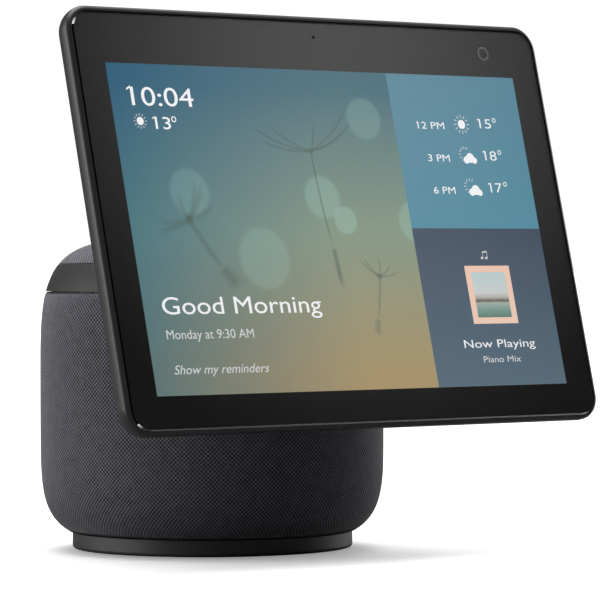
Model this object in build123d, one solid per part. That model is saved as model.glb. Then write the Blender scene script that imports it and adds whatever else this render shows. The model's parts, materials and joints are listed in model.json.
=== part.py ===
from build123d import *
import os
from math import asin, cos, degrees, pi, radians, sin, sqrt, tan

# A smart display: a round speaker base whose top turns, and a flat screen on a tilting arm.
# The origin is the centre of the underside, on the axis that the top turns about.
# Z is up and the screen faces -Y. Everything is in millimetres.

# --- Round body: its outline is one superellipse about its widest level ---
body_radius = 73.9
body_middle_z = 60.0
body_rise = 74.0  # from the widest level up to the centre of the top
body_drop = 57.5  # from the widest level down to where the outline would close
body_power = 5.0
outline_step = 10  # degrees between points of the outline
outline_low = -80  # degrees, below the fabric's hem

fabric_thickness = 1.0
shell_thickness = 2.2
body_low_z = 7.8  # hem of the fabric, top of the foot
body_high_z = 110.4  # top of the part that stands still
lip_top_z = 110.9  # a dark lip of the shell closes the gap under the turning band
lip_inset = 0.35
band_low_z = 111.2  # bottom of the part that turns
band_high_z = 122.8  # top of the plain band, hem of the cap's fabric
band_wall = 2.6

# --- Foot and ballast ---
foot_radius = 60.3
foot_low_z = 0.8
foot_round = 1.5
foot_floor_z = 3.3
pad_outer = 50.0
pad_inner = 40.0
pad_top_z = 1.6
ballast_radius = 52.5
ballast_top_z = 13.3
foot_screw_circle = 56.5
foot_screws = 6

# --- Power inlet, at the back ---
inlet_z = 26.0
inlet_radius = 7.5
inlet_face_y = 70.3
inlet_back_y = 50.0
well_radius = 6.0
well_depth = 6.0
socket_radius = 3.0
socket_end_y = 53.0
pin_radius = 1.05
pin_shank_radius = 1.6
pin_tip_y = 63.0
pin_round = 0.4

# --- Loudspeakers ---
baffle_y = -54.0
woofer_z = 56.0
woofer_radius = 38.0
cone_radius = 24.0
coil_radius = 10.6
roll_radius = 3.5
surround_gap = 0.4
tweeter_angle = 57.0
tweeter_z = 80.0
tweeter_radius = 12.0
tweeter_face = 67.0  # distance of the tweeter's front from the body's axis

# --- Top deck, bearing and drive ---
deck_low_z = 97.0
deck_high_z = 100.0
deck_radius = 69.5
hub_radius = 25.0
hub_low_z = 91.0
race_low_z = 93.0
race_outer = 22.0
ball_circle = 17.0
ball_radius = 2.0
ball_count = 14
spindle_radius = 13.0
spindle_bore = 8.0
shaft_clearance = 0.06

ring_teeth = 90
idler_small_teeth = 12
idler_big_teeth = 48
pinion_teeth = 12
ring_module = 1.0
drive_module = 0.8
pressure_angle = 20.0
stub_addendum = 0.6  # low teeth on the larger gear of each pair keep clear of the small gear's roots
backlash = 0.10
idler_distance = ring_module * (ring_teeth - idler_small_teeth) / 2
pinion_distance = drive_module * (idler_big_teeth + pinion_teeth) / 2
motor_angle = 2 * degrees(asin(pinion_distance / 2 / idler_distance))
motor_radius = 12.0
idler_at = (0.0, idler_distance)
motor_at = (idler_distance * sin(radians(motor_angle)), idler_distance * cos(radians(motor_angle)))

# --- Turning top ---
plate_low_z = 111.8
plate_high_z = 114.8
plate_radius = 66.5
cap_post_circle = 55.0
cap_posts = 4

# --- Screen: x is across, depth runs back from the glass, height runs up the glass ---
tilt_rest = 14.4
screen_y = -90.8  # where the middle of the picture is, on the front of the glass
screen_z = 137.1
picture_width = 217.5
picture_height = 136.0
glass_width = 245.0
glass_height = 170.7
glass_corner = 8.3
glass_middle = 3.55  # the glass reaches higher above the picture than below it
glass_thickness = 1.1
glass_bevel_width = 0.5
glass_bevel_depth = 0.8
glass_gap = 0.45
mask_near = 1.15  # the ink starts a film's thickness behind the glass
mask_far = 1.3
mask_inset = 0.3
housing_width = 250.0
housing_height = 175.2
housing_middle = 4.0
housing_corner = 10.8
housing_depth = 13.5
front_round = 2.0
back_round = 10.5
cover_wall = 2.0
parting_depth = 7.0
ledge_width = 234.0
ledge_height = 160.6
ledge_depth = 4.0
camera_x = 95.0
camera_height = 78.8
camera_window_radius = 4.6
camera_barrel_radius = 3.2
camera_lens_radius = 2.2
microphone_height = 82.2
microphone_radius = 0.6
board_near = 8.3
board_far = 9.5
shield_far = 11.1

# --- Keys and camera shutter, along the top edge ---
key_pitch = 26.0
key_width = 12.0
key_depth = 3.0
key_at_depth = 4.2
key_top = 92.1
key_travel = 0.5
key_gap = 0.15
slider_x = 83.3
slider_width = 8.3
slider_travel = 7.5

# --- Tilting hinge ---
pivot_y = -79.0
pivot_z = 106.0
hinge_radius = 4.4
hinge_pin_radius = 2.5
arm_half_width = 18.0
knuckle_width = 6.0
bracket_thickness = 2.0
knuckle_gap = 0.6
washer_count = 4
washer_width = 0.8
washer_gap = 0.2
hinge_cover_radius = 6.2
hinge_cover_wall = 1.1
tilt_back_limit = 40.0

UPRIGHT = (Align.CENTER, Align.CENTER, Align.MIN)
OVER = 1.0  # how far a cutting tool runs past what it cuts


def export(shape, name):
    """Write one piece to its own file, named after the piece."""
    export_step(shape, f"parts/{name}.step")


def rod(radius, start, end, bore=0.0):
    """Round bar, or tube, between two points."""
    path = Vector(end) - Vector(start)
    place = Plane(origin=start, z_dir=path)
    solid = place * Cylinder(radius, path.length, align=UPRIGHT)
    if bore:
        solid -= place * Cylinder(bore, path.length, align=UPRIGHT)
    return solid


def disc(radius, low_z, high_z, bore=0.0, at=(0.0, 0.0)):
    """Upright disc, or ring, between two heights."""
    return rod(radius, (at[0], at[1], low_z), (at[0], at[1], high_z), bore)


def block(x, y, z):
    """Box given by its lowest and highest x, y and z."""
    size = [high - low for low, high in (x, y, z)]
    middle = [(high + low) / 2 for low, high in (x, y, z)]
    return Pos(*middle) * Box(*size)


def turned(points):
    """Solid turned about Z from an outline of (radius, height) points."""
    return revolve(Plane.XZ * make_face(Polyline(*points, close=True)), Axis.Z)


def circle_points(count, radius, first=0.0):
    """Points evenly spaced on a circle about the axis, the first at an angle in degrees."""
    angles = [radians(first + 360 * i / count) for i in range(count)]
    return [(radius * cos(a), radius * sin(a)) for a in angles]


def screw(x, y, head_z, tip_z, shank=1.25, head=2.4, head_height=1.6):
    """Pan head screw with a socket; head_z is the seat under its head."""
    way = 1 if tip_z > head_z else -1
    top_z = head_z - way * head_height
    body = rod(head, (x, y, top_z), (x, y, head_z)) + rod(shank, (x, y, head_z), (x, y, tip_z))
    return body - rod(shank * 0.7, (x, y, top_z), (x, y, top_z + way * head_height * 0.6))


# --- Round body ---


def outline_point(angle, inset):
    """Point (radius, height) of the body's outline, moved inset mm inwards.

    The angle is 0 at the widest level, 90 at the centre of the top and below 0 lower down.
    """
    reach = body_rise if angle >= 0 else body_drop
    along = 0.0 if angle == 90 else cos(radians(angle)) ** (2 / body_power)
    up = abs(sin(radians(angle))) ** (2 / body_power)
    slope_r = along ** (body_power - 1) / body_radius
    slope_z = up ** (body_power - 1) / reach
    length = sqrt(slope_r**2 + slope_z**2)
    sign = 1 if angle >= 0 else -1
    radius = body_radius * along - inset * slope_r / length
    height = body_middle_z + sign * (reach * up - inset * slope_z / length)
    return radius, height


def body_solid(inset=0.0):
    """The whole round body, solid, moved inset mm inwards from its outer face."""
    points = [outline_point(a, inset) for a in range(outline_low, 91, outline_step)]
    side = Spline(*points, tangents=[(1, 0.5), (-1, 0)])
    low, high = side @ 0, side @ 1
    foot = Line(low, (0, low.Y))
    axis = Line((0, low.Y), (0, high.Y))
    return revolve(Plane.XZ * make_face([side, foot, axis]), Axis.Z)


def body_wall(outer, inner, low_z, high_z):
    """The ring of the body's wall between two insets and two heights."""
    return (body_solid(outer) - body_solid(inner)) & disc(2 * body_radius, low_z, high_z)


def inlet_hole():
    """Tool that opens the fabric and the shell for the power inlet."""
    return rod(inlet_radius, (0, inlet_back_y, inlet_z), (0, body_radius + OVER, inlet_z))


def foot_screw_group():
    group = [
        screw(x, y, foot_low_z + 1.8, 15.0, head_height=1.4)
        for x, y in circle_points(foot_screws, foot_screw_circle, 30)
    ]
    return group


def make_base_foot(screws):
    foot = disc(foot_radius, foot_low_z, body_low_z)
    foot = fillet(foot.edges().group_by(Axis.Z)[0], foot_round)
    foot -= disc(ballast_radius + 0.2, foot_floor_z, body_low_z)
    foot -= disc(pad_outer, foot_low_z, pad_top_z, bore=pad_inner)
    for x, y in circle_points(foot_screws, foot_screw_circle, 30):
        foot -= disc(2.4, foot_low_z, foot_low_z + 1.8, at=(x, y))
        foot -= disc(1.25, foot_low_z, body_low_z, at=(x, y))
    return foot


def make_foot_pad():
    pad = disc(pad_outer, 0, pad_top_z, bore=pad_inner)
    return fillet(pad.edges().group_by(Axis.Z)[0], 0.4)


def make_ballast_plate():
    plate = disc(ballast_radius, foot_floor_z, ballast_top_z, bore=6)
    plate -= block((-14, 14), (38, 60), (9, 14))
    return chamfer(plate.edges().group_by(Axis.Z)[-1], 0.8)


def make_body_fabric():
    return body_wall(0, fabric_thickness, body_low_z, body_high_z) - inlet_hole()


def grille_slots():
    """Tools for the sound openings: rows of upright slots round the front and the sides."""
    slot_height, slot_width, rows, row_pitch, first_z = 12.0, 4.0, 5, 16.0, 28.0
    columns, column_step = 23, 10.0
    slots = []
    for row in range(rows):
        z = first_z + row * row_pitch
        for column in range(columns):
            angle = -90 + (column - (columns - 1) / 2) * column_step
            shape = SlotOverall(slot_height, slot_width, rotation=90)
            place = Rot(0, 0, angle) * Pos(body_radius + OVER, 0, z) * Rot(0, -90, 0) * Rot(0, 0, 90)
            slots.append(place * extrude(shape, 8.0))
    return slots


def make_body_shell(screws):
    outer = fabric_thickness
    inner = fabric_thickness + shell_thickness
    shell = body_wall(outer, inner, body_low_z, body_high_z)
    shell -= grille_slots()
    shell += body_wall(lip_inset, inner, body_high_z, lip_top_z)
    flange = disc(body_radius, body_low_z, body_low_z + 2.2, bore=ballast_radius + 1)
    ledge = disc(body_radius, deck_low_z - 2.5, deck_low_z, bore=62)
    shell += (flange + ledge) & body_solid(outer + 0.5)
    for x, y in circle_points(foot_screws, foot_screw_circle, 30):
        shell += disc(3.0, body_low_z + 1, 16.5, at=(x, y))
    shell -= disc(ballast_radius + 1, 0, ballast_top_z)
    return shell - inlet_hole() - screws


def make_dc_inlet():
    face, back = (0, inlet_face_y, inlet_z), (0, inlet_back_y, inlet_z)
    step = (0, inlet_face_y - well_depth, inlet_z)
    inlet = rod(inlet_radius, back, face)
    inlet -= rod(well_radius, step, (0, inlet_face_y + OVER, inlet_z))
    inlet -= rod(socket_radius, (0, socket_end_y, inlet_z), step)
    return inlet - rod(pin_shank_radius, back, face)


def make_dc_centre_pin():
    pin = rod(pin_radius, (0, inlet_back_y, inlet_z), (0, pin_tip_y, inlet_z))
    pin = fillet(pin.edges().sort_by(Axis.Y)[-1], pin_round)
    return pin + rod(pin_shank_radius, (0, inlet_back_y, inlet_z), (0, socket_end_y, inlet_z))


def make_power_board():
    board = block((-34, 34), (4, 46), (17.0, 18.6))
    posts = [disc(2.5, ballast_top_z, 17.0, at=(x, y)) for x in (-30, 30) for y in (8, 42)]
    return board + posts


def make_power_components():
    can = Pos(-20, 30, 18.6) * Cylinder(2.8, 4.6, align=UPRIGHT)
    parts = [Pos(7.5 * i, 0, 0) * can for i in range(3)]
    parts.append(block((8, 18), (24, 34), (18.6, 22.6)))
    parts.append(block((-28, -12), (8, 18), (18.6, 21.0)))
    parts.append(block((-4, 6), (8, 16), (18.6, 20.2)))
    parts.append(block((14, 28), (8, 14), (18.6, 22.0)))
    return Compound(parts)


# --- Loudspeakers ---


def woofer_place():
    """From a driver that faces +Z about the origin to its place in the baffle, facing -Y."""
    return Location((0, baffle_y, woofer_z), (90, 0, 0))


def enclosure_block(inset):
    """The speaker box as a solid: a drum with a flat front, moved inwards by inset."""
    drum = disc(48 - inset, 24 + inset, 78 - inset)
    front = block((-40 + inset, 40 - inset), (baffle_y + inset, -27 - inset), (17.5 + inset, 94 - inset))
    bridge = block((-34 + inset, 34 - inset), (baffle_y + inset, 0), (28 + inset, 85 - inset))
    return (drum + front + bridge) & body_solid(4.2 + inset)


def make_speaker_enclosure():
    box = enclosure_block(0) - enclosure_block(2.0)
    return box - rod(34, (0, baffle_y - OVER, woofer_z), (0, baffle_y + 4, woofer_z))


def make_woofer_frame():
    flange = disc(woofer_radius, 0, 3, bore=31.6)
    basket = turned([(33.5, 0), (31.6, 0), (23, -18), (16, -18), (16, -19.5), (25, -19.5)])
    for i in range(4):
        basket -= Rot(0, 0, 45 + 90 * i) * block((18, 36), (-9, 9), (-15, -4))
    frame = flange + basket
    for x, y in circle_points(4, 35, 45):
        frame -= disc(1.25, -OVER, 4, at=(x, y))
    return woofer_place() * frame


def make_woofer_magnet():
    outline = [(0, -37), (24, -37), (24, -19.5), (11.6, -19.5), (11.6, -33), (9.2, -33), (9.2, -19), (0, -19)]
    return woofer_place() * turned(outline)


def make_woofer_cone():
    rim_z, neck_z, coil_end, skin = 3.0, -9.0, -26.0, 0.8
    inner = coil_radius - skin
    points = [(cone_radius, rim_z), (cone_radius, rim_z - skin), (coil_radius, neck_z - skin)]
    points += [(coil_radius, coil_end), (inner, coil_end), (inner, neck_z + skin), (cone_radius - 1.4, rim_z)]
    cap = Pos(0, 0, neck_z - 9.0) * (Sphere(13.5) - Sphere(13.5 - skin))
    cap &= disc(inner, neck_z - 2, neck_z + 8)
    return woofer_place() * (turned(points) + cap)


def make_woofer_surround():
    inner = cone_radius + surround_gap
    middle = inner + roll_radius
    roll = Circle(roll_radius) - Circle(roll_radius - 0.6)
    roll &= Pos(0, roll_radius) * Rectangle(2 * roll_radius, 2 * roll_radius)
    hem = Pos(middle + roll_radius + 0.2, 0.3) * Rectangle(1.6, 0.6)
    outline = Pos(middle, 3.0) * roll + Pos(0, 3.0) * hem
    return woofer_place() * revolve(Plane.XZ * outline, Axis.Z)


def speaker_screw_group():
    screws = [screw(x, y, 3, -1.9) for x, y in circle_points(4, 35, 45)]
    return [woofer_place() * s for s in screws]


def tweeter_places():
    """Places of the two small drivers, each facing out from the axis."""
    places = []
    for side in (-1, 1):
        turn = -90 + side * tweeter_angle
        places.append(Rot(0, 0, turn) * Pos(tweeter_face, 0, tweeter_z) * Rot(0, 90, 0))
    return places


def make_tweeter_bodies():
    face = disc(tweeter_radius, -2, 0, bore=8.5)
    can = disc(9.5, -11, -2) - disc(8.5, -4, -2)
    return Compound([place * (face + can) for place in tweeter_places()])


def make_tweeter_domes():
    dome = Pos(0, 0, -11.5) * (Sphere(12.5) - Sphere(12.1))
    dome &= disc(8.0, -2.4, 2)
    ring = disc(8.5, -3.0, -2.2, bore=7.2)
    return Compound([place * (dome + ring) for place in tweeter_places()])


# --- Deck, bearing and drive ---


def deck_screw_group():
    spots = circle_points(4, 65.5, 45)
    return [screw(x, y, deck_high_z, deck_low_z - 2.4, head_height=1.2) for x, y in spots]


def make_top_deck(screws):
    deck = disc(deck_radius, deck_low_z, deck_high_z) + disc(hub_radius, hub_low_z, deck_high_z)
    deck -= disc(race_outer, race_low_z, deck_high_z)
    deck -= disc(19.5, hub_low_z, deck_high_z)
    deck -= disc(5.0, deck_low_z, deck_high_z, at=motor_at)
    deck -= disc(1.5, deck_low_z, deck_high_z, at=idler_at)
    for angle in (200, 230, 310, 340):
        x, y = circle_points(1, 46, angle)[0]
        deck -= disc(7, deck_low_z, deck_high_z, at=(x, y))
    return deck - screws


def bearing_groove():
    """Tool for the ball groove of both races."""
    middle_z = (race_low_z + deck_high_z) / 2
    return Pos(0, 0, middle_z) * Torus(ball_circle, ball_radius + 0.05)


def make_bearing_outer_race():
    return disc(race_outer, race_low_z, deck_high_z, bore=18.6) - bearing_groove()


def make_bearing_inner_race():
    return disc(15.4, race_low_z, deck_high_z, bore=spindle_radius) - bearing_groove()


def make_bearing_balls():
    middle_z = (race_low_z + deck_high_z) / 2
    spots = circle_points(ball_count, ball_circle)
    return Compound([Pos(x, y, middle_z) * Sphere(ball_radius) for x, y in spots])


def involute_point(base, radius, start):
    """Point of an involute of the base circle at a radius, turned by start radians."""
    roll = sqrt(max((radius / base) ** 2 - 1, 0.0))
    angle = start + roll - asin(min(roll / sqrt(1 + roll**2), 1.0))
    return radius * cos(angle), radius * sin(angle)


def gear_face(teeth, module, addendum, dedendum, thinning):
    """Outline of a gear; thinning is taken off each tooth's thickness at the pitch circle."""
    pitch = teeth * module / 2
    base = pitch * cos(radians(pressure_angle))
    root, tip = pitch - dedendum, pitch + addendum
    first = max(base, root)
    spread = tan(radians(pressure_angle)) - radians(pressure_angle)
    half = (pi * module / 2 - thinning) / 2 / pitch + spread
    edges = []
    for tooth in range(teeth):
        middle = 2 * pi * tooth / teeth
        following = middle + 2 * pi / teeth
        flank = [involute_point(base, r, -half) for r in (first, (first + tip) / 2, tip)]
        right = [Vector(x, y).rotate(Axis.Z, degrees(middle)) for x, y in flank]
        left = [Vector(x, -y).rotate(Axis.Z, degrees(middle)) for x, y in flank]
        opposite = Vector(*flank[0]).rotate(Axis.Z, degrees(following))
        out = Vector(root, 0).rotate(Axis.Z, degrees(middle - half))
        back = Vector(root, 0).rotate(Axis.Z, degrees(middle + half))
        coming = Vector(root, 0).rotate(Axis.Z, degrees(following - half))
        if root < first:
            edges.append(Line(out, right[0]))
            edges.append(Line(left[0], back))
        else:
            back, coming = left[0], opposite
        edges.append(ThreePointArc(*right))
        edges.append(ThreePointArc(right[2], Vector(tip, 0).rotate(Axis.Z, degrees(middle)), left[2]))
        edges.append(ThreePointArc(*left))
        valley = Vector(back.length, 0).rotate(Axis.Z, degrees(middle + pi / teeth))
        edges.append(ThreePointArc(back, valley, coming))
    return make_face(edges)


def gear_solid(face, low_z, high_z, at, turn):
    """Gear of a given outline between two heights, turned so that its teeth mesh at rest."""
    return Pos(at[0], at[1], low_z) * Rot(0, 0, turn) * extrude(face, high_z - low_z)


def make_ring_gear():
    """Internal gear; a tooth space faces the idler, at +Y."""
    space = gear_face(ring_teeth, ring_module, 1.25 * ring_module, stub_addendum, -backlash)
    hole = gear_solid(space, 105, plate_low_z, (0, 0), 90)
    return disc(50.5, 105, plate_low_z) - hole


def make_idler_gear():
    """Small gear in the ring gear and a large one driven by the motor, on one hub."""
    small = gear_face(idler_small_teeth, ring_module, ring_module, 1.25 * ring_module, backlash)
    big = gear_face(idler_big_teeth, drive_module, stub_addendum, 1.25 * drive_module, backlash)
    gear = gear_solid(small, 104, 111, idler_at, 90)
    gear += gear_solid(big, 101.8, 104.3, idler_at, idler_big_turn())
    gear += disc(3.5, 100.4, 101.8, at=idler_at)
    return gear - disc(1.5 + shaft_clearance, 100, 112, at=idler_at)


def idler_big_turn():
    """A tooth of the large idler gear points at the motor."""
    dx, dy = motor_at[0] - idler_at[0], motor_at[1] - idler_at[1]
    return Vector(1, 0).get_signed_angle(Vector(dx, dy))


def make_motor_pinion():
    """Pinion on its shaft, with the rotor inside the motor; a space meets the idler's tooth."""
    face = gear_face(pinion_teeth, drive_module, drive_module, 1.25 * drive_module, backlash)
    turn = idler_big_turn() + 180 + 180 / pinion_teeth
    pinion = gear_solid(face, 101.5, 104.7, motor_at, turn)
    pinion += disc(1.5, 80.5, 105.2, at=motor_at)
    return pinion + disc(8.5, 83, 93, at=motor_at)


def make_swivel_motor():
    motor = disc(motor_radius, 79.5, deck_low_z, at=motor_at)
    motor += disc(4.9, deck_low_z, deck_high_z, at=motor_at)
    motor -= disc(9.0, 82, 94, at=motor_at)
    return motor - disc(1.5 + shaft_clearance, 80.4, 101, at=motor_at)


def make_idler_axle():
    return disc(1.5, deck_low_z, 111.3, at=idler_at)


# --- Turning top ---


def make_spindle():
    points = [(spindle_bore, 88.5), (spindle_radius, 88.5), (spindle_radius, deck_high_z)]
    points += [(14.8, deck_high_z), (14.8, 103), (spindle_radius, 103), (spindle_radius, 108.8)]
    points += [(20, 108.8), (20, plate_low_z), (spindle_bore, plate_low_z)]
    return turned(points)


def make_spindle_nut():
    nut = Pos(0, 0, 89) * extrude(RegularPolygon(16.8, 6), race_low_z - 89)
    return nut - disc(spindle_radius, 89, race_low_z)


def arm_screw_spots():
    return [(x, y) for x in (-12, 12) for y in (-62, -54)]


def turret_screw_group():
    """Screws up through the plate: four into the cap's posts and four into the arm."""
    group = [screw(x, y, plate_low_z, 121) for x, y in circle_points(cap_posts, cap_post_circle, 45)]
    group += [screw(x, y, plate_low_z, 118.5) for x, y in arm_screw_spots()]
    return group


def arm_slot(play):
    """Tool for the arm's way out of the front of the turning top."""
    half = arm_half_width + play
    return block((-half, half), (-90, -38), (plate_high_z - play, 120.4 + play))


def make_turret_plate(screws):
    plate = disc(plate_radius, plate_low_z, plate_high_z, bore=spindle_bore)
    for angle in (0, 90, 180):
        x, y = circle_points(1, 30, angle)[0]
        plate -= disc(6, plate_low_z, plate_high_z, at=(x, y))
    return plate - screws


def make_turret_band():
    band = body_wall(0, band_wall, band_low_z, band_high_z)
    ledge = disc(body_radius, plate_high_z, plate_high_z + 2, bore=61) & body_solid(1.0)
    return band + ledge - arm_slot(0.6)


def make_cap_shell(screws):
    cap = body_wall(fabric_thickness, fabric_thickness + 2, band_high_z, body_middle_z + body_rise + OVER)
    cap += body_wall(band_wall + 0.2, band_wall + 1.8, plate_high_z + 2.2, band_high_z + 1)
    for x, y in circle_points(cap_posts, cap_post_circle, 45):
        cap += disc(3.2, plate_high_z, 130, at=(x, y)) & body_solid(fabric_thickness + 1)
    return cap - arm_slot(1.0) - screws


def make_cap_fabric():
    return body_wall(0, fabric_thickness, band_high_z, body_middle_z + body_rise + OVER)


def make_hinge_arm(screws):
    """Cast arm: a flat tongue on the plate, a sloping neck and a barrel round the hinge pin."""
    lean = radians(tilt_back_limit)
    front_y = pivot_y - (hinge_radius - 0.2) * cos(lean)
    front_z = pivot_z + (hinge_radius - 0.2) * sin(lean)
    top_z = 120.4
    run = (top_z - front_z) * tan(lean)
    outline = [(front_y, front_z), (front_y + run, top_z), (-40, top_z), (-40, plate_high_z)]
    outline += [(-71.5, plate_high_z), (pivot_y + hinge_radius, 110.2), (pivot_y + hinge_radius, pivot_z)]
    outline.append((pivot_y, pivot_z))
    side = Plane.YZ * make_face(Polyline(*outline, close=True))
    arm = extrude(side, arm_half_width, both=True)
    left, right = (-arm_half_width, pivot_y, pivot_z), (arm_half_width, pivot_y, pivot_z)
    arm += rod(hinge_radius, left, right)
    arm -= rod(hinge_pin_radius + 0.05, left, right)
    return arm - screws


def make_swivel_cable():
    """Signal cable up the hollow spindle and forward over the arm."""
    path = FilletPolyline((0, 0, 86), (0, 0, 124), (0, -44, 124), radius=12)
    return sweep(Plane.XY.offset(86) * Circle(2.4), path)


# --- Screen, modelled upright behind its own glass and then leaned back ---


def screen_place():
    return Location((0, screen_y, screen_z), (-tilt_rest, 0, 0))


def pivot_on_screen():
    """Depth and height of the tilt axis in the screen's own directions."""
    lean = radians(tilt_rest)
    dy, dz = pivot_y - screen_y, pivot_z - screen_z
    return dy * cos(lean) - dz * sin(lean), dy * sin(lean) + dz * cos(lean)


def sheet_block(width, height, corner, near, far, middle=(0.0, 0.0)):
    """Plate with round corners, parallel to the glass, between two depths."""
    face = Plane((middle[0], near, middle[1]), x_dir=(1, 0, 0), z_dir=(0, -1, 0))
    outline = RectangleRounded(width, height, corner) if corner else Rectangle(width, height)
    return extrude(face * outline, near - far)


def housing_block(inset, near):
    """The screen's housing as a solid, moved inwards by inset and starting at a depth."""
    solid = sheet_block(
        housing_width - 2 * inset, housing_height - 2 * inset, housing_corner - inset,
        0, housing_depth - inset, (0, housing_middle),
    )
    solid = fillet(solid.edges().group_by(Axis.Y)[-1], back_round - inset)
    return solid & block((-200, 200), (near, 30), (-200, 200))


def through(radius, x, height, near=-OVER, far=5.0):
    """Round tool along the depth, such as the one for the camera's window."""
    return rod(radius, (x, near, height), (x, far, height))


def key_spots():
    return [-key_pitch, 0.0, key_pitch]


def make_cover_glass():
    glass = sheet_block(glass_width, glass_height, glass_corner, 0, glass_thickness, (0, glass_middle))
    front = glass.faces().sort_by(Axis.Y)[0]
    glass = chamfer(front.edges(), glass_bevel_width, glass_bevel_depth, reference=front)
    return glass - through(microphone_radius, 0, microphone_height)


def make_bezel_mask():
    width, height = glass_width - 2 * mask_inset, glass_height - 2 * mask_inset
    mask = sheet_block(width, height, glass_corner - mask_inset, mask_near, mask_far, (0, glass_middle))
    mask -= sheet_block(picture_width, picture_height, 0, 0, 2)
    mask -= through(camera_window_radius, camera_x, camera_height)
    return mask - through(microphone_radius, 0, microphone_height)


def make_display_frame():
    frame = housing_block(0, 0)
    frame = fillet(frame.edges().group_by(Axis.Y)[0], front_round)
    frame &= block((-200, 200), (-OVER, parting_depth), (-200, 200))
    width, height = glass_width + 2 * glass_gap, glass_height + 2 * glass_gap
    frame -= sheet_block(width, height, glass_corner + glass_gap, -OVER, mask_far, (0, glass_middle))
    frame -= sheet_block(ledge_width, ledge_height, 7, mask_far - OVER, housing_depth, (0, housing_middle))
    frame -= housing_block(cover_wall, ledge_depth)
    near, far = key_at_depth - key_depth / 2, key_at_depth + key_depth / 2
    for x in key_spots():
        half = key_width / 2 + key_gap
        frame -= block((x - half, x + half), (near - key_gap, far + key_gap), (84, 95))
        frame -= block((x - half - 1.4, x + half + 1.4), (near - 0.6, far + 0.6), (84, 88))
    low, high = slider_x - slider_width / 2 - 0.2, slider_x + slider_width / 2 + slider_travel + 0.2
    return frame - block((low, high), (2.75, 5.65), (84, 95))


def make_back_cover(screws):
    cover = housing_block(0, 0) & block((-200, 200), (parting_depth, 30), (-200, 200))
    cover -= housing_block(cover_wall, parting_depth - OVER)
    depth, height = pivot_on_screen()
    for side in (-1, 1):
        near, far = sorted((side * (arm_half_width + 0.4), side * (arm_half_width + knuckle_width + 1)))
        cover -= block((near, far), (10, 20), (height - 4.7, height + 4.7))
    return cover - screws


def make_lcd_panel():
    return sheet_block(224, 143, 1, mask_far, 3.1, (0, -0.5))


def make_backlight():
    return sheet_block(224, 143, 1, 3.1, 5.1, (0, -0.5))


def make_panel_chassis():
    sheet = sheet_block(226, 145, 2, 5.1, 5.9, (0, -0.5))
    for x in (-85, -55, 60, 85):
        sheet -= sheet_block(14, 60, 5, 5, 6, (x, 0))
    return sheet


def make_main_board():
    board = sheet_block(120, 50, 2, board_near, board_far, (-15, 28))
    posts = [rod(2.2, (x, 5.9, z), (x, board_near, z)) for x in (-71, 41) for z in (7, 49)]
    return board + posts


def make_board_shields():
    cans = [((-50, 28), 34, 32), ((-8, 34), 36, 24), ((27, 22), 22, 22)]
    return Compound([sheet_block(w, h, 1.5, board_far, shield_far, at) for at, w, h in cans])


def make_camera_module():
    body = block((camera_x - 5.2, camera_x + 5.2), (4.0, 8.5), (camera_height - 5.2, camera_height + 3.3))
    barrel = rod(camera_barrel_radius, (camera_x, 2.3, camera_height), (camera_x, 4.0, camera_height))
    well = rod(camera_lens_radius, (camera_x, 2.2, camera_height), (camera_x, 3.4, camera_height))
    return body + barrel - well


def make_camera_lens():
    lens = Pos(camera_x, 5.6, camera_height) * Sphere(3.2)
    return lens & rod(camera_lens_radius, (camera_x, 2.3, camera_height), (camera_x, 3.4, camera_height))


def make_microphone_board():
    board = block((-6, 6), (2.0, 2.8), (75.5, 82.9)) - through(microphone_radius, 0, microphone_height)
    return board + block((-2, 2), (2.8, 4.0), (78.5, 82.7)) + block((-6, 6), (1.3, 2.0), (75.5, 77))


def make_button_board():
    return block((-36, 36), (2.4, 6.2), (83.1, 84.3))


def make_button_switches():
    near, far = key_at_depth - 1.3, key_at_depth + 1.3
    bodies = []
    for x in key_spots():
        body = block((x - 2.2, x + 2.2), (near, far), (84.3, 85.7))
        bodies.append(body + rod(0.8, (x, key_at_depth, 85.7), (x, key_at_depth, 86.2)))
    return Compound(bodies)


def make_key(x):
    """One key: a cap through the top edge and a wider flange that keeps it in."""
    near, far = key_at_depth - key_depth / 2, key_at_depth + key_depth / 2
    cap = block((x - key_width / 2, x + key_width / 2), (near, far), (87.0, key_top))
    cap = fillet(cap.edges().filter_by(Axis.Z), 1.2)
    cap = fillet(cap.edges().group_by(Axis.Z)[-1], 0.5)
    flange = block((x - key_width / 2 - 1, x + key_width / 2 + 1), (near - 0.3, far + 0.3), (86.8, 87.8))
    return cap + flange


def make_shutter_slider():
    half = slider_width / 2
    thumb = block((slider_x - half, slider_x + half), (2.9, 5.5), (89.6, key_top))
    thumb = fillet(thumb.edges().filter_by(Axis.Z), 1.0)
    thumb = fillet(thumb.edges().group_by(Axis.Z)[-1], 0.4)
    stem = block((slider_x - 2.5, slider_x + 2.5), (2.9, 5.5), (82.7, 90.0))
    return thumb + stem + block((slider_x - 2.5, slider_x + 2.5), (2.0, 3.2), (82.7, 83.9))


def make_shutter_blade():
    end = camera_x - camera_window_radius - 0.2
    return block((slider_x - 2.5, end), (1.6, 2.0), (74.5, 83.9))


def bracket_screw_group():
    depth, height = pivot_on_screen()
    foot_near = housing_depth - cover_wall - bracket_thickness
    group = []
    for x in (-32, 32):
        for z in (height - 14, height + 14):
            head = rod(2.2, (x, foot_near - 1.2, z), (x, foot_near, z))
            head -= rod(0.9, (x, foot_near - 1.2, z), (x, foot_near - 0.5, z))
            group.append(head + rod(1.2, (x, foot_near, z), (x, housing_depth - 0.9, z)))
    return group


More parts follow.
